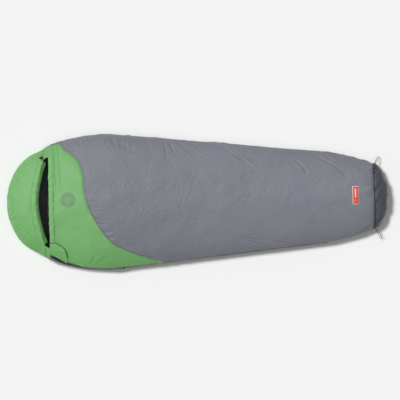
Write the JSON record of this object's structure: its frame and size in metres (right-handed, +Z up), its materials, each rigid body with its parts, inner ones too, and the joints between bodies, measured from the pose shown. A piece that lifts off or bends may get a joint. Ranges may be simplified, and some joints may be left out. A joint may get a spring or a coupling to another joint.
{
  "type": "mummy sleeping bag",
  "caption": "Insulated mummy sleeping bag with a hood that lifts, a side zip with a slider and pull, a neck flap and a hood drawcord with a cord lock.",
  "frame": {"origin": "on the floor under the middle of the bag's length and width", "axes": "+X towards the foot, -X towards the hood, -Y towards the zip side, +Z up"},
  "size_m": [2.15, 0.7732, 0.167],
  "materials": {
    "grey_shell": "calendered polyester taffeta",
    "green_shell": "calendered polyester taffeta",
    "foot_fabric": "woven polyester",
    "insulation": "synthetic fibre batt",
    "lining": "soft polyester taffeta",
    "cord": "round braid",
    "piping": "grosgrain binding",
    "zip_tape": "woven tape",
    "zip_coil": "nylon coil",
    "zip_metal": "black painted zinc",
    "pull_tab": "folded webbing",
    "hook_and_loop": "hook and loop tape",
    "label": "woven label",
    "lock_plastic": "moulded",
    "spring_steel": "drawn wire"
  },
  "bodies": {
    "bag": {"top_shell": "grey_shell", "chest_yoke": "green_shell", "bottom_shell": "grey_shell", "top_insulation": "insulation", "bottom_insulation": "insulation", "top_lining": "lining", "bottom_lining": "lining", "foot_shell": "foot_fabric", "foot_insulation": "insulation", "foot_lining": "lining", "foot_piping": "piping", "collar_hem": "green_shell", "collar_drawcord": "cord", "draft_collar": "lining", "draft_tube": "lining", "zip_tape_upper": "zip_tape", "zip_tape_lower": "zip_tape", "zip_coil_upper": "zip_coil", "zip_coil_lower": "zip_coil", "zip_top_stops": "zip_metal", "zip_box_stop": "zip_coil", "loop_patch": "hook_and_loop", "label": "label", "hang_loop_plus": "cord", "hang_loop_minus": "cord"},
    "hood": {"hood_shell": "green_shell", "hood_back_shell": "grey_shell", "hood_insulation": "insulation", "hood_back_insulation": "insulation", "hood_lining": "lining", "hood_back_lining": "lining", "hood_hem": "green_shell", "hood_drawcord": "cord", "hood_drawcord_end": "cord"},
    "cord_lock": {"cord_lock_barrel": "lock_plastic", "cord_lock_spring": "spring_steel"},
    "lock_button": {"cord_lock_plunger": "lock_plastic"},
    "zip_slider": {"zip_slider": "zip_metal"},
    "zip_pull": {"zip_pull": "zip_metal", "zip_pull_tab": "pull_tab"},
    "neck_flap": {"neck_flap": "green_shell", "hook_patch": "hook_and_loop"}
  },
  "joints": [
    {"name": "hood_tilt", "type": "hinge", "parent": "bag", "child": "hood", "pos_m": [-0.847, 0, 0.0005], "axis": [0, 1, 0], "range_deg": [0, 14]},
    {"name": "lock_slide", "type": "slide", "parent": "hood", "child": "cord_lock", "axis": [0, 1, 0], "range_m": [0, 0.012]},
    {"name": "lock_press", "type": "slide", "parent": "cord_lock", "child": "lock_button", "axis": [1, 0, 0], "range_m": [0, 0.003], "stiffness_N_per_m": 600, "springref_m": -0.001, "deforming": ["cord_lock_spring"]},
    {"name": "zip_run", "type": "slide", "parent": "bag", "child": "zip_slider", "axis": [0.9947, 0.1031, 0], "range_m": [0, 1.12]},
    {"name": "pull_flip", "type": "hinge", "parent": "zip_slider", "child": "zip_pull", "pos_m": [-0.41977, -0.38045, 0.055], "axis": [0, 0, 1], "range_deg": [0, 170]},
    {"name": "flap_open", "type": "hinge", "parent": "bag", "child": "neck_flap", "pos_m": [-0.833, -0.285, 0.1], "axis": [0.8463, -0.5113, -0.1499], "range_deg": [0, 100]}
  ]
}
